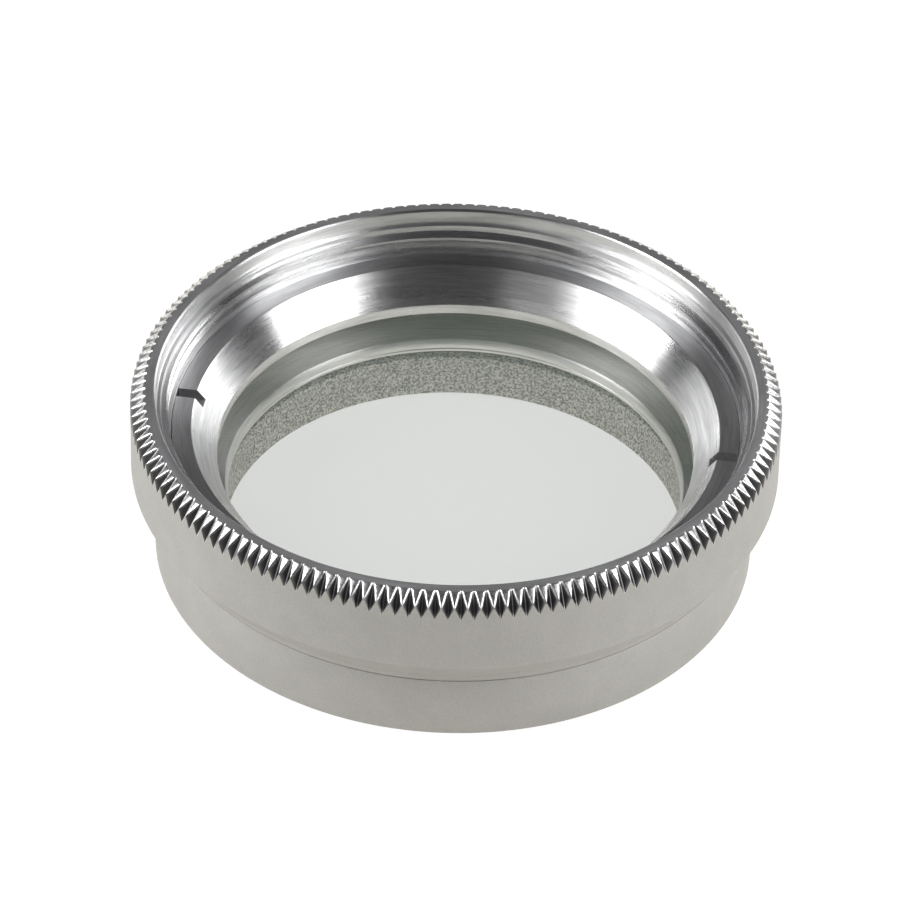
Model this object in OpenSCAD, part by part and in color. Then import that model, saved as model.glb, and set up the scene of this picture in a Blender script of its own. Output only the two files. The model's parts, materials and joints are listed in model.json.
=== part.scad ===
// Magnetic UV filter: a knurled filter ring with its glass, on a collar that holds a ring magnet.
// Millimetres. The origin is the centre of the collar's rear face, and +Z points out of the front.
// Widths are radial and step inwards and outwards from the thread; heights stack up from the rear face.

/* [Front thread] */
// Nominal diameter of the fine front thread
thread_d = 22; // [20:0.5:30]
// Pitch of the front thread
thread_pitch = 0.5; // [0.4:0.05:0.75]
// Length of thread left free above the retaining ring
free_thread_h = 1.11; // [1:0.01:3]
// Depth of the plain lead-in before the thread
leadin_h = 0.55; // [0.3:0.05:1]
// How far the lead-in's wall stands outside the thread
leadin_w = 0.36; // [0.2:0.01:0.6]

/* [Rim and band] */
// Width of the rim's flat face
rim_w = 0.38; // [0.3:0.01:0.8]
// Width of the chamfer on the rim's outer corner
rim_chamfer_w = 0.51; // [0.3:0.01:0.6]
// Height of the chamfer on the rim's outer corner
rim_chamfer_h = 0.39; // [0.2:0.01:0.5]
// Width of the bevel between the band and the collar
bevel_w = 0.89; // [0.75:0.01:1.1]
// Height of the bevel between the band and the collar
bevel_h = 1.36; // [0.9:0.02:2]
// Radius of the hollow that blends the bevel into the collar
bevel_hollow_r = 0.6; // [0.2:0.05:0.7]
// Break of the two corners that meet at the parting line
parting_edge = 0.04; // [0.02:0.01:0.1]

/* [Knurl] */
// Spacing of the V grooves round the band
groove_pitch = 0.48; // [0.44:0.01:0.8]
// Angle of the first groove round the axis
groove_turn = 1.7; // [0:0.1:2.2]
// Height of a groove from the rim's face down to its pointed tip
groove_h = 0.89; // [0.8:0.01:1]
// Angle of a groove's floor line to the ring's axis
groove_slope = 33; // [28:1:36]
// Angle between a groove's two flanks
groove_angle = 82; // [60:1:86]

/* [Retaining ring] */
// Height of the retaining ring
retainer_h = 1.64; // [1.3:0.02:3]
// Width of the retaining ring's flat front face
retainer_face_w = 0.76; // [0.5:0.02:1]
// Width of the cone that leads down to the glass
retainer_cone_w = 0.96; // [0.6:0.02:1.4]
// Height of the land that bears on the glass
retainer_land_h = 0.42; // [0.2:0.02:0.8]
// Width of a spanner slot
slot_w = 0.5; // [0.3:0.05:1]
// Depth of a spanner slot
slot_depth = 0.4; // [0.2:0.05:0.8]
// Angle of the spanner slots round the axis
slot_turn = 171.5; // [0:0.5:180]

/* [Glass and its seat] */
// Thickness of the glass
glass_h = 1; // [0.6:0.1:1.5]
// How far the glass stands proud of its pocket, so that the retaining ring bears on it
glass_proud = 0.1; // [0.04:0.02:0.2]
// Width of the ledge between the thread and the glass's pocket
pocket_ledge_w = 0.38; // [0.25:0.01:0.6]
// Width of the seat that carries the glass
seat_w = 1.65; // [1:0.05:2]
// Height of the seat above the collar's top
seat_rise = 0.32; // [0.2:0.02:0.6]
// Thickness of the shoulder under the glass, with the spigot below it
shoulder_h = 0.8; // [0.7:0.02:1.2]
// Width of the slope from the seat down to the shoulder's bore
lip_slope_w = 0.1; // [0.05:0.01:0.3]
// Height of the slope from the seat down to the shoulder's bore
lip_slope_h = 0.2; // [0.1:0.01:0.3]
// Width of the recess behind the shoulder's lip
lip_recess_w = 0.6; // [0.3:0.05:1]
// Depth of the recess behind the shoulder's lip
lip_recess_h = 0.26; // [0.1:0.02:0.4]

/* [Magnet collar] */
// Wall of the collar
collar_wall = 0.96; // [0.7:0.02:1.2]
// Break of the collar's two rear corners
collar_edge = 0.08; // [0.04:0.02:0.15]
// Distance from the collar's rear face in to the magnet
magnet_recess = 0.16; // [0.1:0.02:0.4]
// Height of the ring magnet
magnet_h = 1.78; // [1.5:0.02:3]
// Width of the ring magnet's section
magnet_w = 1.64; // [1.2:0.02:2]
// Gap between the magnet and the spigot
magnet_gap = 0.16; // [0.06:0.02:0.3]
// Break of the magnet's corners
magnet_edge = 0.05; // [0.02:0.01:0.1]

/* [Fits] */
// Radial clearance of the retaining ring in its thread
thread_clearance = 0.03; // [0.01:0.01:0.06]
// Radial clearance of the glass in its pocket
glass_clearance = 0.05; // [0.02:0.01:0.1]
// Radial clearance of the collar on the spigot
collar_clearance = 0.02; // [0.01:0.01:0.05]
// Radial clearance of the magnet in the collar
magnet_clearance = 0.02; // [0.01:0.01:0.05]

/* [Hidden] */
$fn = 160;
// How far a cutter runs past the surface it opens
past = 0.2;
// Steps in the arc of the bevel's hollow
arc_steps = 8;

// Heights above the collar's rear face
magnet_top_z = magnet_recess + magnet_h;
spigot_z = magnet_top_z + magnet_gap;
lip_rear_z = spigot_z + lip_recess_h;
glass_seat_z = spigot_z + shoulder_h;
lip_top_z = glass_seat_z - lip_slope_h;
glass_top_z = glass_seat_z + glass_h;
retainer_top_z = glass_top_z + retainer_h;
leadin_z = retainer_top_z + free_thread_h;
rim_z = leadin_z + leadin_h;
rim_chamfer_z = rim_z - rim_chamfer_h;
groove_tip_z = rim_z - groove_h;
collar_h = glass_seat_z - seat_rise;
band_foot_z = collar_h + bevel_h;

// The basic profile of a metric thread cuts 0.5413 of the pitch into its bore
thread_minor_r = thread_d / 2 - 0.5413 * thread_pitch;
// The bore is drawn at the thread's root where it is free, and at its crest where the retaining ring fills it
free_thread_r = thread_d / 2;

// Radii outwards from the thread
leadin_r = free_thread_r + leadin_w;
rim_r = leadin_r + rim_w;
band_r = rim_r + rim_chamfer_w;
collar_r = band_r - bevel_w;
collar_bore_r = collar_r - collar_wall;
spigot_r = collar_bore_r - collar_clearance;
magnet_r = collar_bore_r - magnet_clearance;
magnet_bore_r = magnet_r - magnet_w;

// Radii inwards from the thread
retainer_r = thread_minor_r - thread_clearance;
retainer_face_r = thread_minor_r - retainer_face_w;
retainer_land_r = retainer_face_r - retainer_cone_w;
glass_pocket_r = thread_minor_r - pocket_ledge_w;
glass_r = glass_pocket_r - glass_clearance;
window_r = glass_pocket_r - seat_w;
lip_r = window_r - lip_slope_w;
lip_recess_r = lip_r + lip_recess_w;

// The hollow is an arc that leaves the collar's wall upright and ends where the bevel's cone touches it
hollow_x = collar_r + bevel_hollow_r;
hollow_z = collar_h + parting_edge;
bevel_top = [band_r - hollow_x, band_foot_z - hollow_z];
hollow_end = atan2(bevel_top[1], bevel_top[0]) + acos(bevel_hollow_r / norm(bevel_top));
hollow_points = [
    for (i = [0 : arc_steps])
        let (a = hollow_end + (180 - hollow_end) * i / arc_steps)
        [hollow_x + bevel_hollow_r * cos(a), hollow_z + bevel_hollow_r * sin(a)]
];

// The grooves are spaced evenly, as close to their pitch as the band allows
groove_count = round(2 * PI * band_r / groove_pitch);
// A cutter reaches a little past the rim's outer corner, square to the groove's floor line
groove_reach = (groove_h - rim_chamfer_h) * sin(groove_slope) + past / 4;
groove_half_w = groove_reach * tan(groove_angle / 2);

// The filter ring without its knurl, turned in one piece
module filter_ring_blank() {
    rotate_extrude()
        polygon(concat([
            [leadin_r, rim_z],
            [rim_r, rim_z],
            [band_r, rim_chamfer_z],
            [band_r, band_foot_z]
        ], hollow_points, [
            [collar_r - parting_edge, collar_h],
            [spigot_r, collar_h],
            [spigot_r, spigot_z],
            [lip_recess_r, spigot_z],
            [lip_recess_r, lip_rear_z],
            [lip_r, lip_rear_z],
            [lip_r, lip_top_z],
            [window_r, glass_seat_z],
            [glass_pocket_r, glass_seat_z],
            [glass_pocket_r, glass_top_z - glass_proud],
            [thread_minor_r, glass_top_z - glass_proud],
            [thread_minor_r, retainer_top_z],
            [free_thread_r, retainer_top_z],
            [free_thread_r, leadin_z],
            [leadin_r, leadin_z]
        ]));
}

// One V groove: a prism along the floor line that climbs inwards from the groove's tip to the rim
module groove_cutter() {
    run = groove_h / cos(groove_slope);
    translate([band_r, 0, groove_tip_z])
        rotate([0, -groove_slope, 0])
        translate([0, 0, -past])
        linear_extrude(height = run + 2 * past)
        polygon([[0, 0], [groove_reach, -groove_half_w], [groove_reach, groove_half_w]]);
}

// The knurled filter ring
module filter_ring() {
    color("gainsboro")
        difference() {
            filter_ring_blank();
            for (i = [0 : groove_count - 1])
                rotate([0, 0, groove_turn + i * 360 / groove_count])
                    groove_cutter();
        }
}

// The threaded ring that clamps the glass, with two spanner slots
module retaining_ring() {
    color("dimgray")
        difference() {
            rotate_extrude()
                polygon([
                    [retainer_land_r, glass_top_z],
                    [retainer_r, glass_top_z],
                    [retainer_r, retainer_top_z],
                    [retainer_face_r, retainer_top_z],
                    [retainer_land_r, glass_top_z + retainer_land_h]
                ]);
            rotate([0, 0, slot_turn])
                translate([-band_r, -slot_w / 2, retainer_top_z - slot_depth])
                cube([2 * band_r, slot_w, slot_depth + past]);
        }
}

// The flat round glass
module filter_glass() {
    color("lightcyan", 0.4)
        translate([0, 0, glass_seat_z])
        cylinder(r = glass_r, h = glass_h);
}

// The sleeve that carries the magnet, pressed over the spigot
module magnet_collar() {
    color("silver")
        rotate_extrude()
        polygon([
            [collar_bore_r, collar_edge],
            [collar_bore_r + collar_edge, 0],
            [collar_r - collar_edge, 0],
            [collar_r, collar_edge],
            [collar_r, collar_h - parting_edge],
            [collar_r - parting_edge, collar_h],
            [collar_bore_r, collar_h]
        ]);
}

// The ring magnet, bonded into the sleeve
module ring_magnet() {
    color("gray")
        rotate_extrude()
        polygon([
            [magnet_bore_r, magnet_recess + magnet_edge],
            [magnet_bore_r + magnet_edge, magnet_recess],
            [magnet_r - magnet_edge, magnet_recess],
            [magnet_r, magnet_recess + magnet_edge],
            [magnet_r, magnet_top_z - magnet_edge],
            [magnet_r - magnet_edge, magnet_top_z],
            [magnet_bore_r + magnet_edge, magnet_top_z],
            [magnet_bore_r, magnet_top_z - magnet_edge]
        ]);
}

filter_ring();
retaining_ring();
filter_glass();
magnet_collar();
ring_magnet();
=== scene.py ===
import json
import math

import bpy
from mathutils import Matrix, Vector

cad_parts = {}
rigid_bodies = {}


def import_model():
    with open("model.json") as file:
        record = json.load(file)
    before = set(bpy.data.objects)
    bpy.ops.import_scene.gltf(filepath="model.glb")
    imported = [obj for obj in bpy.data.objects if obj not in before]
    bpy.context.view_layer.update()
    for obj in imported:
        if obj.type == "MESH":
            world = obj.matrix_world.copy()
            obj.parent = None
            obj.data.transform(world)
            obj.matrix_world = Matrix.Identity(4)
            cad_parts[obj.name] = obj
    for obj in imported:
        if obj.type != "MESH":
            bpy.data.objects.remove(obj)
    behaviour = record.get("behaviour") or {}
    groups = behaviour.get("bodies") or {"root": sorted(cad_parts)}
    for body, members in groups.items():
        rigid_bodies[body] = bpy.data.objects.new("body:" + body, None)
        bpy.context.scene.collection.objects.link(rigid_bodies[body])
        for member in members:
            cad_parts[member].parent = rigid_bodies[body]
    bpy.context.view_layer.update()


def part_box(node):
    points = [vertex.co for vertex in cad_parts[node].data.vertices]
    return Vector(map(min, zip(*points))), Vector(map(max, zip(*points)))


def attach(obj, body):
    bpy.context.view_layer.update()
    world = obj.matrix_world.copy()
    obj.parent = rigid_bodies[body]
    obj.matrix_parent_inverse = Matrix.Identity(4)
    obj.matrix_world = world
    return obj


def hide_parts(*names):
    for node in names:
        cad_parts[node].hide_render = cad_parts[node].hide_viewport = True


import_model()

bl_info = {
    "name": "Magnetic UV filter",
    "version": (1, 0, 0),
    "blender": (4, 5, 0),
    "location": "View3D > Sidebar > UV filter",
    "description": "Models a knurled magnetic UV filter around its packed frame",
    "category": "Object",
}

MM = 0.001
# Pieces are shaped at a thousand times their size, so that no merge distance is too coarse
WORK = 1000.0
FULL_TURN = 2 * math.pi
# The basic profile of a metric thread cuts this share of the pitch into its bore
THREAD_CUT = 0.5413
# Steps round the axis of the turned pieces, the glass and the thread
TURN_STEPS = 360
GLASS_STEPS = 256
THREAD_STEPS = 320
# Turns the drawn-out highlights square to the tool lines
TURNED_ROTATION = 0.25

# Sizes that the frame gives
RING_LOW, RING_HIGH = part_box("filter_ring")
RETAINER_LOW, RETAINER_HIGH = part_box("retaining_ring")
GLASS_LOW, GLASS_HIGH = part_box("filter_glass")
COLLAR_LOW, COLLAR_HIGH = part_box("magnet_collar")
MAGNET_LOW, MAGNET_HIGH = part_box("ring_magnet")


def length(name, description, millimetres):
    """A size in metres, given in millimetres."""
    return bpy.props.FloatProperty(
        name=name, description=description, default=millimetres * MM, unit="LENGTH", precision=6
    )


def angle(name, description, degrees):
    """An angle, given in degrees."""
    return bpy.props.FloatProperty(
        name=name, description=description, default=math.radians(degrees), subtype="ANGLE"
    )


def share(name, description, value):
    """A plain number between 0 and 1."""
    return bpy.props.FloatProperty(name=name, description=description, default=value, min=0, max=1)


def colour(name, description, value):
    """A scene-linear colour."""
    return bpy.props.FloatVectorProperty(
        name=name, description=description, default=value, subtype="COLOR", size=3, min=0, max=1
    )


class RingSizes(bpy.types.PropertyGroup):
    """Sizes of the filter ring and its knurl."""

    rim_w: length("Rim width", "Width of the rim's flat face", 0.38)
    rim_chamfer_w: length("Rim chamfer width", "Width of the rim's outer chamfer", 0.51)
    rim_chamfer_h: length("Rim chamfer height", "Height of the rim's outer chamfer", 0.39)
    leadin_h: length("Lead-in depth", "Depth of the plain lead-in before the thread", 0.6)
    leadin_w: length("Lead-in step", "How far the lead-in's foot stands outside the thread", 0.27)
    mouth_edge: length("Mouth edge", "Width of the break between the rim and the lead-in", 0.06)
    bevel_h: length("Bevel height", "Height of the bevel between band and collar", 1.36)
    hollow_r: length("Hollow radius", "Radius of the hollow at the bevel's foot", 0.6)
    parting_edge: length("Parting edge", "Break of the corners at the parting line", 0.04)
    pocket_ledge_w: length("Pocket ledge", "Ledge between the thread and the glass's pocket", 0.38)
    seat_w: length("Seat width", "Width of the seat that carries the glass", 1.65)
    lip_slope_w: length("Lip slope width", "Width of the slope from the seat to the bore", 0.1)
    lip_slope_h: length("Lip slope height", "Height of the slope from the seat to the bore", 0.2)
    lip_recess_w: length("Lip recess width", "Width of the recess behind the lip", 0.6)
    lip_recess_h: length("Lip recess depth", "Depth of the recess behind the lip", 0.26)
    lip_line_h: length("Lip line height", "Height of the fine line in the lip over its rear face", 0.14)
    lip_line: length("Lip line", "Width and depth of the fine line in the lip", 0.03)
    glass_proud: length("Glass stands proud", "How far the glass stands out of its pocket", 0.1)
    edge: length("Edge rounding", "Rounding of the turned edges", 0.03)
    groove_count: bpy.props.IntProperty(
        name="Grooves", description="Number of V grooves round the rim", default=160, min=12
    )
    groove_turn: angle("Groove turn", "Angle of the first groove round the axis", 1.7)
    groove_h: length("Groove height", "Height of a groove from the rim to its pointed tip", 0.89)
    groove_slope: angle("Groove slope", "Angle of a groove's floor line to the axis", 33)
    groove_angle: angle("Groove angle", "Angle between a groove's two flanks", 79)
    groove_floor_r: length("Groove floor", "Radius of a groove's rounded floor", 0.045)
    groove_edge: length("Groove rounding", "Rounding of the groove's edges", 0.055)


class ThreadSizes(bpy.types.PropertyGroup):
    """Sizes of the front thread."""

    nominal_d: length("Nominal diameter", "Nominal diameter of the front thread", 22)
    pitch: length("Pitch", "Pitch of the front thread", 0.5)
    crest: share("Crest share", "Share of the pitch that a ridge's crest takes", 0.24)
    root: share("Root share", "Share of the pitch between two ridges at their foot", 0.13)
    start: share("Start", "How far along the pitch the first ridge starts", 0.95)
    depth: length("Thread depth", "Height of a ridge over the thread's root", 0.27)
    clearance: length("Root clearance", "How far the root stands outside the nominal radius", 0.11)
    run_in: length("Run-in", "Plain wall between the lead-in and the first ridge", 0.23)


class RetainerSizes(bpy.types.PropertyGroup):
    """Sizes of the retaining ring."""

    face_w: length("Face width", "Width of the flat front face", 0.76)
    cone_w: length("Cone width", "Width of the cone that leads down to the glass", 0.96)
    land_h: length("Land height", "Height of the land that bears on the glass", 0.42)
    edge: length("Edge rounding", "Rounding of the turned edges", 0.03)
    slot_w: length("Slot width", "Width of a spanner slot", 0.5)
    slot_depth: length("Slot depth", "Depth of a spanner slot", 0.4)
    slot_turn: angle("Slot turn", "Angle of the spanner slots round the axis", 171.5)


class RearSizes(bpy.types.PropertyGroup):
    """Sizes of the collar, the magnet and the glass."""

    collar_wall: length("Collar wall", "Wall of the collar", 0.96)
    collar_clearance: length("Collar clearance", "Radial clearance of the collar on the spigot", 0.02)
    collar_edge: length("Collar edge", "Break of the collar's rear corners", 0.08)
    collar_rounding: length("Collar rounding", "Rounding of the collar's edges", 0.02)
    magnet_w: length("Magnet width", "Width of the ring magnet's section", 1.64)
    magnet_edge: length("Magnet edge", "Break of the magnet's corners", 0.05)
    glass_edge: length("Glass edge", "Break of the glass's edges", 0.08)


class FinishColours(bpy.types.PropertyGroup):
    """Colours of the finishes, and of the painted shade deep in the grooves."""

    blasted: colour("Blasted aluminium", "Satin outside of the ring and collar", (0.56, 0.555, 0.535))
    turned: colour("Turned aluminium", "Bright turned walls", (0.91, 0.91, 0.915))
    rim: colour("Faced rim", "Flat satin face of the rim", (0.6, 0.6, 0.61))
    faced: colour("Faced retaining ring", "Flat face of the retaining ring", (0.6, 0.6, 0.61))
    seat: colour("Turned seat", "Wall and shoulder under the glass", (0.93, 0.93, 0.9))
    # Painted shade: the dark colour put deep in the knurl's grooves, where shade falls
    groove: colour("Groove floors", "Shaded metal deep in the grooves", (0.22, 0.22, 0.225))
    magnet: colour("Magnet", "Coarse grain of the magnet", (0.5, 0.5, 0.48))
    glass: colour("Glass", "Tint of the coated glass", (0.4, 0.45, 0.4))
    floor: colour("Floor", "Plain pale floor", (0.8, 0.775, 0.72))


def sizes(group):
    """The property group of that name in the scene."""
    return getattr(bpy.context.scene, group)


def minor_radius():
    """Radius of the bore over the crests of the front thread."""
    thread = sizes("filter_thread")
    return thread.nominal_d / 2 - THREAD_CUT * thread.pitch


class Value:
    """One number socket of a material, so that shader maths is written as Python sums."""

    def __init__(self, finish, socket):
        self.finish = finish
        self.socket = socket

    def maths(self, operation, *values):
        return self.finish.add("ShaderNodeMath", {"operation": operation}, *values)

    def __add__(self, other):
        return self.maths("ADD", self, other)

    def __radd__(self, other):
        return self.maths("ADD", other, self)

    def __sub__(self, other):
        return self.maths("SUBTRACT", self, other)

    def __rsub__(self, other):
        return self.maths("SUBTRACT", other, self)

    def __mul__(self, other):
        return self.maths("MULTIPLY", self, other)

    def __rmul__(self, other):
        return self.maths("MULTIPLY", other, self)

    def __truediv__(self, other):
        return self.maths("DIVIDE", self, other)

    def __pow__(self, other):
        return self.maths("POWER", self, other)


class Nodes:
    """A node tree under construction, of a material or of the world."""

    def __init__(self, tree, output):
        self.tree = tree
        tree.nodes.clear()
        self.output = tree.nodes.new(output)

    def add(self, kind, settings, *values, out=0, **named):
        """Adds a node: its settings first, then its sockets, by place or by name. Returns one output."""
        node = self.tree.nodes.new(kind)
        for key, setting in settings.items():
            setattr(node, key, setting)
        for i, value in enumerate(values):
            self.put(node.inputs[i], value)
        for key, value in named.items():
            self.put(node.inputs[key.replace("_", " ")], value)
        return Value(self, node.outputs[out])

    def put(self, socket, value):
        if isinstance(value, Value):
            self.tree.links.new(value.socket, socket)
        elif value is not None:
            socket.default_value = value

    def surface(self, shader):
        self.put(self.output.inputs["Surface"], shader)

    def ramp(self, value, start, end):
        """A number that eases from one stop to the next, each a place and a height."""
        return self.add(
            "ShaderNodeMapRange",
            {"interpolation_type": "SMOOTHSTEP"},
            value,
            start[0],
            end[0],
            start[1],
            end[1],
        )

    def tint(self, factor, first, second):
        """A colour between two colours."""
        pair = [c if isinstance(c, Value) else (*c, 1) for c in (first, second)]
        # Five sockets for other kinds of value come before the two colours
        return self.add("ShaderNodeMix", {"data_type": "RGBA"}, factor, *[None] * 5, *pair, out=2)

    def place(self):
        """The object coordinates' vector, and its x, y and z."""
        vector = self.add("ShaderNodeTexCoord", {}, out=3)
        split = self.add("ShaderNodeSeparateXYZ", {}, vector).socket.node
        return vector, *(Value(self, output) for output in split.outputs)

    def least(self, first, second):
        return self.add("ShaderNodeMath", {"operation": "MINIMUM"}, first, second)

    def noise(self, vector, scale, detail=2.0, roughness=0.5):
        return self.add(
            "ShaderNodeTexNoise",
            {"noise_dimensions": "3D"},
            Vector=vector,
            Scale=scale,
            Detail=detail,
            Roughness=roughness,
        )

    def bump(self, height, distance, strength=1.0):
        return self.add("ShaderNodeBump", {}, Strength=strength, Distance=distance, Height=height)

    def principled(self, **named):
        return self.add("ShaderNodeBsdfPrincipled", {}, **named)


class Finish(Nodes):
    """The nodes of a new material."""

    def __init__(self, name):
        self.material = bpy.data.materials.new(name)
        self.material.use_nodes = True
        super().__init__(self.material.node_tree, "ShaderNodeOutputMaterial")

    def close(self, shader):
        """Joins the shader to the output and gives the finished material."""
        self.surface(shader)
        return self.material


def scaled(tone, factor):
    """A colour made darker or brighter."""
    return tuple(min(c * factor, 1) for c in tone)


def turned_lines(finish, fine, breadth, detail=2.0):
    """Noise drawn out round the axis: fine tool lines that fade in and out along their length."""
    _, x, y, z = finish.place()
    radius = (x * x + y * y) ** 0.5
    # Lines run apart both across a face and up a wall
    across = (radius + z * 0.7) * fine
    around = finish.add(
        "ShaderNodeCombineXYZ", {}, x / radius * breadth, y / radius * breadth, across
    )
    return finish.noise(around, 1.0, detail, 0.6)


def blasted_aluminium(name):
    """Bead-blasted satin aluminium: a fine even grain with faint sparkle."""
    tone = sizes("filter_colours").blasted
    finish = Finish(name)
    vector, *_ = finish.place()
    grain = finish.noise(vector, 16000.0, 3.0, 0.6)
    cloud = finish.noise(vector, 900.0, 2.0, 0.5)
    base = finish.tint(
        finish.ramp(grain * 0.7 + cloud * 0.3, (0.35, 0.0), (0.65, 1.0)),
        scaled(tone, 0.9),
        tone,
    )
    rough = finish.ramp(grain, (0.3, 0.62), (0.7, 0.5))
    return finish.close(
        finish.principled(
            Base_Color=base,
            Metallic=0.4,
            Roughness=rough,
            Anisotropic=0.4,
            Anisotropic_Rotation=TURNED_ROTATION,
            Normal=finish.bump(grain, 2.0e-6, 0.5),
        )
    )


def turned_aluminium(name, tone, roughness, depth, stretch=0.9):
    """Aluminium with tool lines round the axis, which draw its highlights out across them."""
    finish = Finish(name)
    lines = turned_lines(finish, 9000.0, 6.0, 3.0)
    broad = turned_lines(finish, 1800.0, 2.0)
    vector, *_ = finish.place()
    grit = finish.noise(vector, 14000.0, 2.0, 0.6)
    base = finish.tint(
        finish.ramp(lines * 0.6 + broad * 0.4, (0.35, 0.0), (0.6, 1.0)),
        scaled(tone, 0.8),
        tone,
    )
    rough = finish.ramp(broad, (0.3, roughness * 1.15), (0.7, roughness * 0.85))
    height = lines + broad * 2.0 + grit * 0.7
    return finish.close(
        finish.principled(
            Base_Color=base,
            Metallic=1.0,
            Roughness=rough,
            Anisotropic=stretch,
            Anisotropic_Rotation=TURNED_ROTATION,
            Normal=finish.bump(height, depth),
        )
    )


def knurl_cut(name):
    """Raw-cut knurl: bright metal on its crests and edges, with painted shade on the groove walls that
    grows darker deep in the grooves.
    """
    ring = sizes("filter_ring")
    colours = sizes("filter_colours")
    finish = Finish(name)
    vector, x, y, z = finish.place()
    radius = (x * x + y * y) ** 0.5
    grit = finish.noise(vector, 30000.0, 2.0, 0.6)
    # Depth under the rim's flat, its chamfer and the band, whichever is the least
    slope = Vector((ring.rim_chamfer_h, ring.rim_chamfer_w)).normalized()
    corner = Vector((RING_HIGH.x, RING_HIGH.z - ring.rim_chamfer_h)).dot(slope)
    depth = finish.least(RING_HIGH.z - z, RING_HIGH.x - radius)
    depth = finish.least(depth, corner - radius * slope.x - z * slope.y)
    # Painted shade on the groove walls: 45% of the turned tone near the surface, fading to the groove
    # colour deeper down
    flank = finish.tint(
        finish.ramp(depth + grit * 0.04 * MM, (0.02 * MM, 0.0), (0.13 * MM, 1.0)),
        scaled(colours.turned, 0.45),
        tuple(colours.groove),
    )
    # Only groove edges within about 0.09 mm of the surface, above the chamfer's foot, keep the bright
    # turned colour; below that foot the painted shade runs right up to the edges
    foot_z = RING_HIGH.z - ring.rim_chamfer_h
    above = finish.ramp(z, (foot_z - 0.02 * MM, 0.0), (foot_z + 0.06 * MM, 1.0))
    edge = finish.ramp(depth + grit * 0.05 * MM, (0.075 * MM, 1.0), (0.105 * MM, 0.0))
    # Random patches in which the painted shade reaches over the bright edges
    patches = finish.noise(vector, 9000.0, 2.0, 0.6)
    edge_patches = finish.ramp(patches * 0.7 + grit * 0.3, (0.4, 0.15), (0.52, 1.0))
    base = finish.tint(above * edge * edge_patches, flank, tuple(colours.turned))
    normal = finish.bump(grit, 3.0e-6, 0.6)
    return finish.close(
        finish.principled(Base_Color=base, Metallic=1.0, Roughness=0.28, Normal=normal)
    )


def magnet_grain(name):
    """Coarse speckled grain of the ring magnet."""
    tone = sizes("filter_colours").magnet
    finish = Finish(name)
    vector, *_ = finish.place()
    grain = finish.noise(vector, 11000.0, 3.0, 0.75)
    bright = finish.ramp(grain, (0.4, 0.0), (0.6, 1.0))
    base = finish.tint(bright, scaled(tone, 0.3), scaled(tone, 1.65))
    normal = finish.bump(grain, 3.0e-5)
    return finish.close(
        finish.principled(Base_Color=base, Metallic=0.8, Roughness=0.5, Normal=normal)
    )


def coated_glass(name):
    """Thin coated glass: nearly clear, with a faint grey-green body."""
    tone = sizes("filter_colours").glass
    finish = Finish(name)
    vector, *_ = finish.place()
    drift = finish.noise(vector, 60.0, 1.0, 0.5)
    base = finish.tint(finish.ramp(drift, (0.3, 0.0), (0.7, 1.0)), scaled(tone, 0.97), tone)
    return finish.close(finish.principled(Base_Color=base, Roughness=0.03, IOR=1.3, Alpha=0.22))


def polar(radius, turn, height):
    """A point from its radius, angle and height."""
    return Vector((radius * math.cos(turn), radius * math.sin(turn), height))


def eased(outline, reach, closed=True):
    """An outline of radii and heights with its sharp corners turned into small arcs."""
    points = [Vector((r, z, 0)) for r, z in outline]
    steps = 3
    result = []
    for i, point in enumerate(points):
        if not closed and i in (0, len(points) - 1):
            result.append(point)
            continue
        before = points[i - 1] - point
        after = points[(i + 1) % len(points)] - point
        if before.angle(after) > math.radians(150):
            result.append(point)
            continue
        size = min(reach, before.length * 0.45, after.length * 0.45)
        start = point + before.normalized() * size
        end = point + after.normalized() * size
        for k in range(steps + 1):
            t = k / steps
            result.append(start * (1 - t) ** 2 + point * 2 * t * (1 - t) + end * t ** 2)
    return [(p.x, p.y) for p in result]


def open_piece(name):
    """Adds a mesh with one vertex at the origin and opens it for editing."""
    bpy.ops.object.select_all(action="DESELECT")
    bpy.ops.mesh.primitive_plane_add(size=1, location=(0, 0, 0))
    piece = bpy.context.object
    piece.name = name
    piece.data.name = name
    bpy.ops.object.mode_set(mode="EDIT")
    bpy.ops.mesh.select_all(action="SELECT")
    bpy.ops.mesh.merge(type="CENTER")
    return piece


def draw(points, closed=False, filled=False):
    """Draws a chain of edges from the one selected vertex, which is moved to the first point."""
    points = [Vector(p) * WORK for p in points]
    bpy.ops.transform.translate(value=points[0])
    for before, after in zip(points, points[1:]):
        bpy.ops.mesh.extrude_vertices_move(TRANSFORM_OT_translate={"value": after - before})
    bpy.ops.mesh.select_linked()
    if closed or filled:
        bpy.ops.mesh.edge_face_add()
    if closed and not filled:
        bpy.ops.mesh.delete(type="ONLY_FACE")
        bpy.ops.mesh.select_all(action="SELECT")


def pick(piece, kind, chosen):
    """Selects the faces or edges of the open piece that pass a test, and nothing else."""
    bpy.ops.object.mode_set(mode="EDIT")
    bpy.ops.mesh.select_mode(type=kind)
    bpy.ops.mesh.select_all(action="DESELECT")
    bpy.ops.object.mode_set(mode="OBJECT")
    for part in piece.data.polygons if kind == "FACE" else piece.data.edges:
        part.select = chosen(part)
    bpy.ops.object.mode_set(mode="EDIT")


def close_up():
    """Merges the seams of the open piece and points its faces outwards."""
    bpy.ops.mesh.select_all(action="SELECT")
    bpy.ops.mesh.remove_doubles(threshold=0.0005)
    bpy.ops.mesh.normals_make_consistent(inside=False)


def take(piece):
    """Makes a piece the only selected object, and the active one."""
    bpy.ops.object.select_all(action="DESELECT")
    piece.select_set(True)
    bpy.context.view_layer.objects.active = piece


def apply_modifier(piece, kind, **settings):
    """Adds a modifier to the active piece, sets it up and applies it."""
    bpy.ops.object.modifier_add(type=kind)
    modifier = piece.modifiers[-1]
    for key, setting in settings.items():
        setattr(modifier, key, setting)
    bpy.ops.object.modifier_apply(modifier=modifier.name)


def cut_away(piece, cutter):
    """Cuts the shape of one object out of a piece."""
    take(piece)
    apply_modifier(piece, "BOOLEAN", operation="DIFFERENCE", solver="EXACT", object=cutter)
    bpy.data.objects.remove(cutter)


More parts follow.
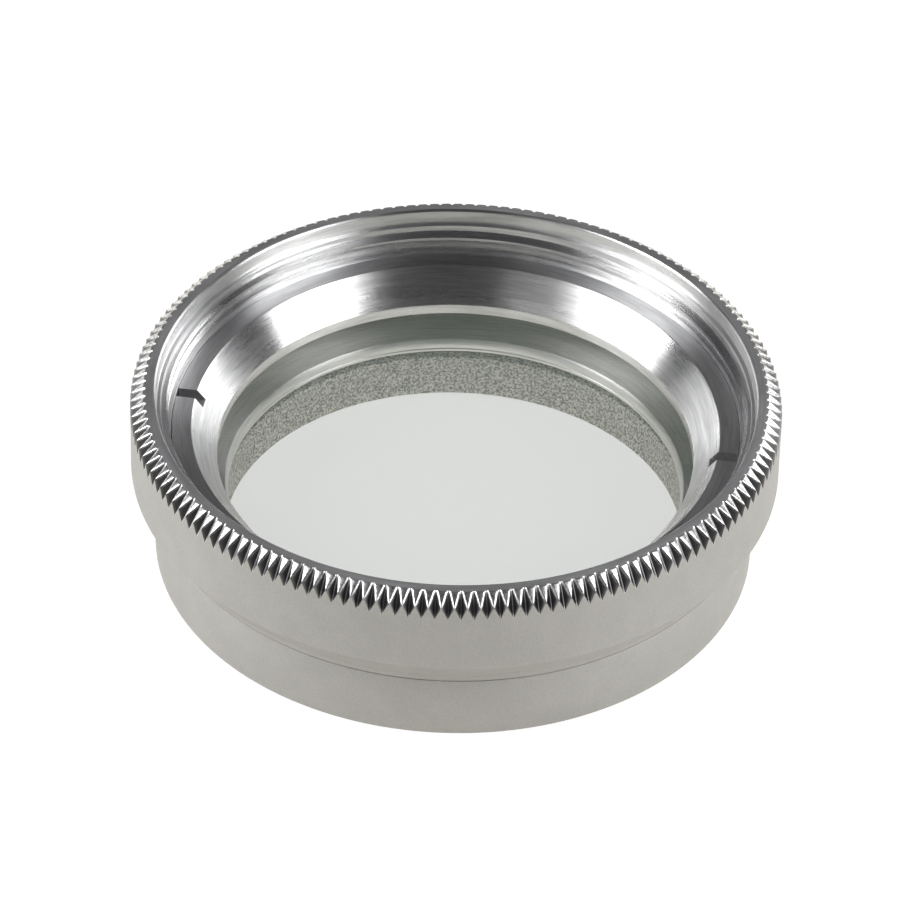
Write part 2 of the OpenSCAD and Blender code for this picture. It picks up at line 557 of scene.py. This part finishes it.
def finish_piece(piece, smooth=30):
    """Leaves edit mode, brings the piece to its real size and shades it."""
    if bpy.context.mode != "OBJECT":
        bpy.ops.object.mode_set(mode="OBJECT")
    take(piece)
    piece.scale = (1 / WORK,) * 3
    bpy.ops.object.transform_apply(location=True, rotation=True, scale=True)
    bpy.ops.object.shade_smooth_by_angle(angle=math.radians(smooth), keep_sharp_edges=False)
    # Keeps the large faces flat in the shading, so that only the small roundings curve
    apply_modifier(piece, "WEIGHTED_NORMAL", mode="FACE_AREA", weight=90, keep_sharp=True)


def turn_outline(name, outline):
    """Turns a closed outline of radii and heights round the axis."""
    piece = open_piece(name)
    draw([polar(r, 0, z) for r, z in outline], closed=True)
    bpy.ops.mesh.spin(steps=TURN_STEPS, angle=FULL_TURN, center=(0, 0, 0), axis=(0, 0, 1))
    close_up()
    return piece


def seat_piece(piece, node, slot, *materials):
    """Gives a piece its materials and its body, and hides the part of the frame that it stands for, if
    any. The slot is not used.
    """
    for material in materials:
        piece.data.materials.append(material)
    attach(piece, "root")
    if node:
        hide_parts(node)


def knurl_wedge(ring, half, inner_r, loop_z):
    """One pitch of the knurl: a wedge of the rim's corner with one groove cut across its middle."""
    rim_z, band_r = RING_HIGH.z, RING_HIGH.x
    turn = ring.groove_turn
    corner = [
        (inner_r, loop_z),
        (band_r, loop_z),
        (band_r, rim_z - ring.rim_chamfer_h),
        (band_r - ring.rim_chamfer_w, rim_z),
        (inner_r, rim_z),
    ]
    wedge = open_piece("knurled_filter_ring")
    draw([polar(r, turn + half, z) for r, z in corner], closed=True)
    bpy.ops.mesh.spin(steps=2, angle=2 * half, center=(0, 0, 0), axis=(0, 0, 1))
    bpy.ops.mesh.select_all(action="SELECT")
    bpy.ops.mesh.fill_holes(sides=0)
    close_up()
    bpy.ops.object.mode_set(mode="OBJECT")
    cut_away(wedge, groove_cutter(ring))

    def shared(face):
        """Faces inside the ring, and those between one pitch and the next."""
        centre, normal = face.center / WORK, face.normal
        around = math.atan2(centre.y, centre.x) - turn
        side = abs(abs(around) - half) < half * 0.001 and abs(normal.z) < 0.001
        return centre.xy.length < inner_r * 1.001 or side or normal.z < -0.99

    pick(wedge, "FACE", shared)
    bpy.ops.mesh.delete(type="FACE")
    bpy.ops.mesh.select_mode(type="VERT")
    return wedge


def groove_cutter(ring):
    """The cutter of one groove: a rounded V that runs along the sloped floor line."""
    slope, flank, floor_r = ring.groove_slope, ring.groove_angle / 2, ring.groove_floor_r
    past = 0.2 * MM
    # Far enough from the floor line to clear the band and the rim's face
    reach = 0.55 * ring.groove_h
    outwards = Vector((math.cos(slope), 0, math.sin(slope)))
    along = Vector((-math.sin(slope), 0, math.cos(slope)))
    start = Vector((RING_HIGH.x, 0, RING_HIGH.z - ring.groove_h)) - along * past
    half_w = floor_r * math.cos(flank) + (reach - floor_r * (1 - math.sin(flank))) * math.tan(flank)
    section = [(reach, half_w)]
    steps = 6
    for i in range(steps + 1):
        a = math.radians(90) + flank + (math.pi - 2 * flank) * i / steps
        section.append((floor_r * (1 + math.cos(a)), floor_r * math.sin(a)))
    section.append((reach, -half_w))
    turn = Matrix.Rotation(ring.groove_turn, 3, "Z")
    piece = open_piece("groove_cutter")
    draw([turn @ (start + outwards * e + Vector((0, y, 0))) for e, y in section], filled=True)
    length_along = ring.groove_h / math.cos(slope) + 2 * past
    bpy.ops.mesh.extrude_region_move(
        TRANSFORM_OT_translate={"value": turn @ along * length_along * WORK}
    )
    close_up()
    bpy.ops.object.mode_set(mode="OBJECT")
    return piece


def hollow_arc(ring):
    """The hollow that blends the bevel into the collar, from its upper end down."""
    steps = 8
    centre = Vector((COLLAR_HIGH.x + ring.hollow_r, COLLAR_HIGH.z + ring.parting_edge))
    band_foot = Vector((RING_HIGH.x, COLLAR_HIGH.z + ring.bevel_h))
    rise = band_foot - centre
    # The bevel leaves the band's foot as a tangent to the hollow
    end = math.atan2(rise.y, rise.x) + math.acos(ring.hollow_r / rise.length)
    turns = [end + (math.pi - end) * i / steps for i in range(steps + 1)]
    return [
        (centre.x + ring.hollow_r * math.cos(a), centre.y + ring.hollow_r * math.sin(a)) for a in turns
    ]


def ring_outline(ring, mouth_r, window_r, inner_r, loop_z):
    """Half the ring's section, from the plain band down round the rear and up to the rim's mouth."""
    thread, rear = sizes("filter_thread"), sizes("filter_rear")
    rim_z, spigot_z = RING_HIGH.z, RING_LOW.z
    band_r, collar_r = RING_HIGH.x, COLLAR_HIGH.x
    leadin_z = rim_z - ring.leadin_h
    ledge_z = GLASS_HIGH.z - ring.glass_proud
    lip_rear_z = spigot_z + ring.lip_recess_h
    lip_line_z = lip_rear_z + ring.lip_line_h
    root_r = thread.nominal_d / 2 + thread.clearance
    minor_r = minor_radius()
    pocket_r = minor_r - ring.pocket_ledge_w
    lip_r = window_r - ring.lip_slope_w
    recess_r = lip_r + ring.lip_recess_w
    spigot_r = collar_r - rear.collar_wall - rear.collar_clearance
    outline = [
        (band_r, loop_z),
        (band_r, COLLAR_HIGH.z + ring.bevel_h),
        *hollow_arc(ring),
        (collar_r - ring.parting_edge, COLLAR_HIGH.z),
        (spigot_r, COLLAR_HIGH.z),
        (spigot_r, spigot_z),
        (recess_r, spigot_z),
        (recess_r, lip_rear_z),
        (lip_r, lip_rear_z),
        (lip_r, lip_line_z - ring.lip_line),
        (lip_r + ring.lip_line, lip_line_z),
        (lip_r, lip_line_z + ring.lip_line),
        (lip_r, GLASS_LOW.z - ring.lip_slope_h),
        (window_r, GLASS_LOW.z),
        (pocket_r, GLASS_LOW.z),
        (pocket_r, ledge_z),
        (minor_r, ledge_z),
        (minor_r, RETAINER_HIGH.z),
        (root_r, RETAINER_HIGH.z),
        (root_r, leadin_z),
        (thread.nominal_d / 2 + ring.leadin_w, leadin_z),
        (mouth_r - ring.mouth_edge, rim_z - ring.mouth_edge),
        (mouth_r, rim_z),
        (inner_r, rim_z),
    ]
    return eased(outline, ring.edge, closed=False)


class FILTER_OT_ring(bpy.types.Operator):
    """Turn the filter ring and cut its knurl"""

    bl_idname = "uv_filter.ring"
    bl_label = "Filter ring"

    # Slots of the finishes
    BLASTED, KNURL, RIM, BORE, SEAT = range(5)

    def execute(self, context):
        ring = sizes("filter_ring")
        colours = sizes("filter_colours")
        pitch_angle = FULL_TURN / ring.groove_count
        half = pitch_angle / 2
        tip_z = RING_HIGH.z - ring.groove_h
        mouth_r = RING_HIGH.x - ring.rim_chamfer_w - ring.rim_w
        window_r = minor_radius() - ring.pocket_ledge_w - ring.seat_w
        # The knurled corner and the turned rest meet below the grooves and inside them
        loop_z = tip_z - 0.1 * MM
        inner_r = mouth_r + 0.1 * MM
        outline = ring_outline(ring, mouth_r, window_r, inner_r, loop_z)
        turn = ring.groove_turn
        piece = knurl_wedge(ring, half, inner_r, loop_z)
        bpy.ops.mesh.select_all(action="SELECT")
        bpy.ops.mesh.spin(
            steps=ring.groove_count - 1,
            dupli=True,
            angle=FULL_TURN - pitch_angle,
            center=(0, 0, 0),
            axis=(0, 0, 1),
        )
        bpy.ops.mesh.select_all(action="SELECT")
        bpy.ops.mesh.hide(unselected=False)
        bpy.ops.mesh.primitive_plane_add(size=1, location=(0, 0, 0))
        bpy.ops.mesh.merge(type="CENTER")
        draw([polar(r, turn - half, z) for r, z in outline])
        bpy.ops.mesh.select_all(action="SELECT")
        bpy.ops.mesh.spin(
            steps=2 * ring.groove_count, angle=FULL_TURN, center=(0, 0, 0), axis=(0, 0, 1)
        )
        bpy.ops.mesh.reveal(select=True)
        close_up()
        self.round_grooves(piece, ring, inner_r)
        finish_piece(piece)
        seat_piece(
            piece,
            "filter_ring",
            "ring_aluminium",
            blasted_aluminium("blasted_band"),
            knurl_cut("knurl_cut"),
            turned_aluminium("faced_rim", colours.rim, 0.55, 1.0e-6, stretch=0.3),
            turned_aluminium("turned_bore", colours.turned, 0.32, 5.0e-6),
            turned_aluminium("turned_seat", colours.seat, 0.42, 4.0e-6),
        )
        for face in piece.data.polygons:
            face.material_index = self.finish_of(face, tip_z, mouth_r, window_r)
        return {"FINISHED"}

    def round_grooves(self, piece, ring, inner_r):
        """Rounds the edges that the grooves leave on the rim's flat and chamfer."""
        lowest = (RING_HIGH.z - ring.rim_chamfer_h - 0.02 * MM) * WORK
        innermost = (inner_r + 0.02 * MM) * WORK
        bpy.ops.object.mode_set(mode="OBJECT")
        mesh = piece.data
        normals = {}
        for face in mesh.polygons:
            for key in face.edge_keys:
                normals.setdefault(key, []).append(face.normal.copy())

        def edge_of_groove(edge):
            a, b = (mesh.vertices[i].co for i in edge.vertices)
            near = normals.get(edge.key, [])
            if len(near) != 2 or min(a.z, b.z) < lowest or min(a.xy.length, b.xy.length) < innermost:
                return False
            return near[0].angle(near[1]) > math.radians(28)

        pick(piece, "EDGE", edge_of_groove)
        bpy.ops.mesh.bevel(
            offset=ring.groove_edge * WORK, segments=3, profile=0.5, affect="EDGES", clamp_overlap=True
        )
        bpy.ops.mesh.select_mode(type="VERT")

    def finish_of(self, face, tip_z, mouth_r, window_r):
        """The material slot of a face, by its place."""
        radius = face.center.xy.length
        height = face.center.z
        outward = face.normal.xy.dot(face.center.xy) / radius
        if height > tip_z - 0.02 * MM and radius > mouth_r + 0.04 * MM:
            if face.normal.z > 0.97:
                return self.RIM
            if radius > RING_HIGH.x - 0.004 * MM and outward > 0.97:
                return self.BLASTED
            return self.KNURL
        if outward > 0.2 and radius > window_r + 2 * MM:
            return self.BLASTED
        if face.normal.z > 0.9 and height < RING_LOW.z + 1 * MM:
            return self.SEAT
        return self.BORE


class FILTER_OT_thread(bpy.types.Operator):
    """Cut the fine front thread"""

    bl_idname = "uv_filter.thread"
    bl_label = "Front thread"

    def execute(self, context):
        ring = sizes("filter_ring")
        thread = sizes("filter_thread")
        colours = sizes("filter_colours")
        low = RETAINER_HIGH.z
        high = RING_HIGH.z - ring.leadin_h - thread.run_in
        root_r = thread.nominal_d / 2 + thread.clearance
        crest_r = root_r - thread.depth
        foot = thread.pitch * (1 - thread.root) / 2
        crest = thread.pitch * thread.crest / 2
        start_z = low - thread.pitch * (2 - thread.start)
        turns = math.ceil((high - start_z) / thread.pitch) + 2
        buried = 0.01 * MM
        outline = [
            (root_r + buried, -foot),
            (root_r, -foot),
            (crest_r, -crest),
            (crest_r, crest),
            (root_r, foot),
            (root_r + buried, foot),
        ]
        piece = open_piece("front_thread")
        draw([(r, 0, start_z + z) for r, z in outline], closed=True)
        bpy.ops.object.mode_set(mode="OBJECT")
        apply_modifier(
            piece,
            "SCREW",
            screw_offset=thread.pitch * WORK,
            angle=FULL_TURN,
            iterations=turns,
            steps=THREAD_STEPS,
            render_steps=THREAD_STEPS,
        )
        bpy.ops.object.mode_set(mode="EDIT")
        for height, outer in ((high, True), (low, False)):
            bpy.ops.mesh.select_all(action="SELECT")
            bpy.ops.mesh.bisect(
                plane_co=(0, 0, height * WORK),
                plane_no=(0, 0, 1),
                use_fill=True,
                clear_outer=outer,
                clear_inner=not outer,
                threshold=0.0001,
            )
        close_up()
        finish_piece(piece, 20)
        seat_piece(
            piece, None, "ring_aluminium", turned_aluminium("thread_cut", colours.turned, 0.25, 5.0e-6)
        )
        return {"FINISHED"}


class FILTER_OT_retainer(bpy.types.Operator):
    """Turn the retaining ring and mill its spanner slots"""

    bl_idname = "uv_filter.retainer"
    bl_label = "Retaining ring"

    def execute(self, context):
        ring = sizes("filter_retainer")
        colours = sizes("filter_colours")
        low, high = RETAINER_LOW.z, RETAINER_HIGH.z
        outer_r = RETAINER_HIGH.x
        face_r = minor_radius() - ring.face_w
        land_r = face_r - ring.cone_w
        outline = [
            (land_r, low),
            (outer_r, low),
            (outer_r, high),
            (face_r, high),
            (land_r, low + ring.land_h),
        ]
        piece = turn_outline("slotted_retaining_ring", eased(outline, ring.edge))
        bpy.ops.object.mode_set(mode="OBJECT")
        bpy.ops.mesh.primitive_cube_add(size=1, location=(0, 0, 0))
        cutter = bpy.context.object
        cutter.scale = (4 * outer_r * WORK, ring.slot_w * WORK, 2 * ring.slot_depth * WORK)
        cutter.location = (0, 0, high * WORK)
        cutter.rotation_euler = (0, 0, ring.slot_turn)
        bpy.ops.object.transform_apply(location=True, rotation=True, scale=True)
        cut_away(piece, cutter)
        finish_piece(piece)
        seat_piece(
            piece,
            "retaining_ring",
            "retainer_aluminium",
            turned_aluminium("turned_cone", colours.turned, 0.3, 4.0e-6),
            turned_aluminium("faced_retainer", colours.faced, 0.38, 2.0e-6),
        )
        for face in piece.data.polygons:
            flat = face.normal.z > 0.97
            radius = face.center.xy.length
            outward = face.normal.xy.dot(face.center.xy) / radius
            side = abs(outward) < 0.5 and abs(face.normal.z) < 0.5
            face.material_index = 1 if flat or side else 0
        return {"FINISHED"}


class FILTER_OT_glass(bpy.types.Operator):
    """Grind the flat glass"""

    bl_idname = "uv_filter.glass"
    bl_label = "Glass"

    def execute(self, context):
        rear = sizes("filter_rear")
        outer_r, low, high = GLASS_HIGH.x, GLASS_LOW.z, GLASS_HIGH.z
        edge = rear.glass_edge
        outline = [
            (0, low),
            (outer_r - edge, low),
            (outer_r, low + edge),
            (outer_r, high - edge),
            (outer_r - edge, high),
            (0, high),
        ]
        piece = open_piece("coated_glass_disc")
        draw([polar(r, 0, z) for r, z in outline])
        bpy.ops.mesh.select_all(action="SELECT")
        bpy.ops.mesh.spin(steps=GLASS_STEPS, angle=FULL_TURN, center=(0, 0, 0), axis=(0, 0, 1))
        close_up()
        finish_piece(piece)
        seat_piece(piece, "filter_glass", "coated_glass", coated_glass("coated_glass"))
        return {"FINISHED"}


class FILTER_OT_collar(bpy.types.Operator):
    """Turn the rear collar"""

    bl_idname = "uv_filter.collar"
    bl_label = "Magnet collar"

    def execute(self, context):
        rear = sizes("filter_rear")
        outer_r, height = COLLAR_HIGH.x, COLLAR_HIGH.z
        bore_r = outer_r - rear.collar_wall
        outline = [
            (bore_r, rear.collar_edge),
            (bore_r + rear.collar_edge, 0),
            (outer_r - rear.collar_edge, 0),
            (outer_r, rear.collar_edge),
            (outer_r, height),
            (bore_r, height),
        ]
        piece = turn_outline("blasted_magnet_collar", eased(outline, rear.collar_rounding))
        finish_piece(piece)
        seat_piece(piece, "magnet_collar", "collar_aluminium", blasted_aluminium("blasted_collar"))
        return {"FINISHED"}


class FILTER_OT_magnet(bpy.types.Operator):
    """Press the ring magnet"""

    bl_idname = "uv_filter.magnet"
    bl_label = "Ring magnet"

    def execute(self, context):
        rear = sizes("filter_rear")
        outer_r, low, high = MAGNET_HIGH.x, MAGNET_LOW.z, MAGNET_HIGH.z
        bore_r = outer_r - rear.magnet_w
        outline = [(bore_r, low), (outer_r, low), (outer_r, high), (bore_r, high)]
        piece = turn_outline("grained_ring_magnet", eased(outline, rear.magnet_edge))
        finish_piece(piece)
        seat_piece(piece, "ring_magnet", "magnet", magnet_grain("magnet_grain"))
        return {"FINISHED"}


# The camera, found from the circles in the photograph
VIEW_ELEVATION = math.radians(38.31)
VIEW_ROLL = math.radians(1.42)
VIEW_DISTANCE = 242.8 * MM
VIEW_AIM_RIGHT = 0.09 * MM
VIEW_AIM_DOWN = 2.238 * MM
VIEW_LENS = 254.43

# Each soft box: turn and elevation in degrees, width and height in metres, and radiance
LAMPS = {
    "left_softbox": (189, 33, 0.22, 0.36, 5.0),
    "right_softbox": (-21, 33, 0.21, 0.36, 4.5),
    "right_rear_strip": (42, 19, 0.18, 0.28, 2.6),
    "left_rear_strip": (140, 8, 0.24, 0.12, 1.2),
    "rear_panel": (90, 38, 0.3, 0.2, 0.1),
    "left_front_panel": (-132, 34, 0.24, 0.22, 0.35),
}
LAMP_DISTANCE = 0.4
LAMP_TARGET = Vector((0, 0, 4 * MM))
ROOM_TONE = (0.045, 0.045, 0.047, 1)


def aim(obj, place, target, roll=0.0):
    """Puts a camera or lamp at a place, looking at a target."""
    ahead = (target - place).normalized()
    right = ahead.cross(Vector((0, 0, 1))).normalized()
    up = right.cross(ahead)
    turned_right = right * math.cos(roll) + up * math.sin(roll)
    turned_up = up * math.cos(roll) - right * math.sin(roll)
    matrix = Matrix((turned_right, turned_up, -ahead)).transposed().to_4x4()
    matrix.translation = place
    obj.matrix_world = matrix


def add_lamp(name, turn, elevation, width, height, radiance):
    """A soft box seen from the object at that angle, as bright as that radiance."""
    lamp = bpy.data.lights.new(name, "AREA")
    lamp.shape = "RECTANGLE"
    lamp.size = width
    lamp.size_y = height
    lamp.energy = radiance * math.pi * width * height
    obj = bpy.data.objects.new(name, lamp)
    bpy.context.scene.collection.objects.link(obj)
    turn, elevation = math.radians(turn), math.radians(elevation)
    place = polar(LAMP_DISTANCE * math.cos(elevation), turn, LAMP_DISTANCE * math.sin(elevation))
    aim(obj, place, LAMP_TARGET)


class FILTER_OT_stage(bpy.types.Operator):
    """Set the floor, the light and the camera"""

    bl_idname = "uv_filter.stage"
    bl_label = "Stage"

    def execute(self, context):
        scene = context.scene
        scene.view_settings.view_transform = "Standard"
        bpy.ops.object.select_all(action="DESELECT")
        bpy.ops.mesh.primitive_plane_add(size=6, location=(0, 0, 0))
        floor = context.object
        floor.name = "floor"
        floor.data.materials.append(self.floor_finish())
        self.light(scene)
        camera = bpy.data.objects.new("camera", bpy.data.cameras.new("camera"))
        scene.collection.objects.link(camera)
        camera.data.sensor_width = 36
        camera.data.lens = VIEW_LENS
        camera.data.clip_start = 0.01
        rim = Vector((0, 0, RING_HIGH.z))
        up = Vector((0, math.sin(VIEW_ELEVATION), math.cos(VIEW_ELEVATION)))
        back = Vector((0, -math.cos(VIEW_ELEVATION), math.sin(VIEW_ELEVATION)))
        target = rim + Vector((VIEW_AIM_RIGHT, 0, 0)) - up * VIEW_AIM_DOWN
        aim(camera, rim + back * VIEW_DISTANCE, target, VIEW_ROLL)
        scene.camera = camera
        return {"FINISHED"}

    def floor_finish(self):
        """A pale floor that the camera sees as white, with the object's soft shadow."""
        tone = sizes("filter_colours").floor
        finish = Finish("floor")
        camera = finish.add("ShaderNodeLightPath", {}, out=0)
        glossy = finish.add("ShaderNodeLightPath", {}, out=3)
        plain = finish.add("ShaderNodeBsdfDiffuse", {}, Color=(*tone, 1))
        dim = finish.add("ShaderNodeBsdfDiffuse", {}, Color=(*scaled(tone, 0.25), 1))
        warm = finish.add("ShaderNodeEmission", {}, Color=(*tone, 1), Strength=0.95)
        shade = finish.add("ShaderNodeBsdfDiffuse", {}, Color=(0.3, 0.3, 0.3, 1))
        white = finish.add("ShaderNodeEmission", {}, Color=(1, 1, 1, 1), Strength=0.86)
        mirrored = finish.add("ShaderNodeAddShader", {}, dim, warm)
        seen = finish.add("ShaderNodeAddShader", {}, shade, white)
        unseen = finish.add("ShaderNodeMixShader", {}, glossy, plain, mirrored)
        return finish.close(finish.add("ShaderNodeMixShader", {}, camera, unseen, seen))

    def light(self, scene):
        """A dim room that the camera sees as white, and the soft boxes."""
        scene.world = bpy.data.worlds.new("studio")
        scene.world.use_nodes = True
        studio = Nodes(scene.world.node_tree, "ShaderNodeOutputWorld")
        camera = studio.add("ShaderNodeLightPath", {}, out=0)
        room = studio.add("ShaderNodeBackground", {}, ROOM_TONE)
        white = studio.add("ShaderNodeBackground", {}, (1, 1, 1, 1))
        studio.surface(studio.add("ShaderNodeMixShader", {}, camera, room, white))
        for name, values in LAMPS.items():
            add_lamp(name, *values)


class FILTER_PT_panel(bpy.types.Panel):
    """Lists the filter's pieces"""

    bl_label = "Magnetic UV filter"
    bl_idname = "FILTER_PT_panel"
    bl_space_type = "VIEW_3D"
    bl_region_type = "UI"
    bl_category = "UV filter"

    def draw(self, context):
        for operator in STEPS:
            self.layout.operator(operator.bl_idname)


STEPS = (
    FILTER_OT_stage,
    FILTER_OT_ring,
    FILTER_OT_thread,
    FILTER_OT_retainer,
    FILTER_OT_glass,
    FILTER_OT_collar,
    FILTER_OT_magnet,
)
GROUPS = {
    "filter_ring": RingSizes,
    "filter_thread": ThreadSizes,
    "filter_retainer": RetainerSizes,
    "filter_rear": RearSizes,
    "filter_colours": FinishColours,
}


def register():
    for group in GROUPS.values():
        bpy.utils.register_class(group)
    for name, group in GROUPS.items():
        setattr(bpy.types.Scene, name, bpy.props.PointerProperty(type=group))
    for operator in STEPS:
        bpy.utils.register_class(operator)
    bpy.utils.register_class(FILTER_PT_panel)


def unregister():
    bpy.utils.unregister_class(FILTER_PT_panel)
    for operator in reversed(STEPS):
        bpy.utils.unregister_class(operator)
    for name in GROUPS:
        delattr(bpy.types.Scene, name)
    for group in reversed(GROUPS.values()):
        bpy.utils.unregister_class(group)


def main():
    register()
    bpy.ops.uv_filter.stage()
    bpy.ops.uv_filter.ring()
    bpy.ops.uv_filter.thread()
    bpy.ops.uv_filter.retainer()
    bpy.ops.uv_filter.glass()
    bpy.ops.uv_filter.collar()
    bpy.ops.uv_filter.magnet()


if __name__ == "__main__":
    main()
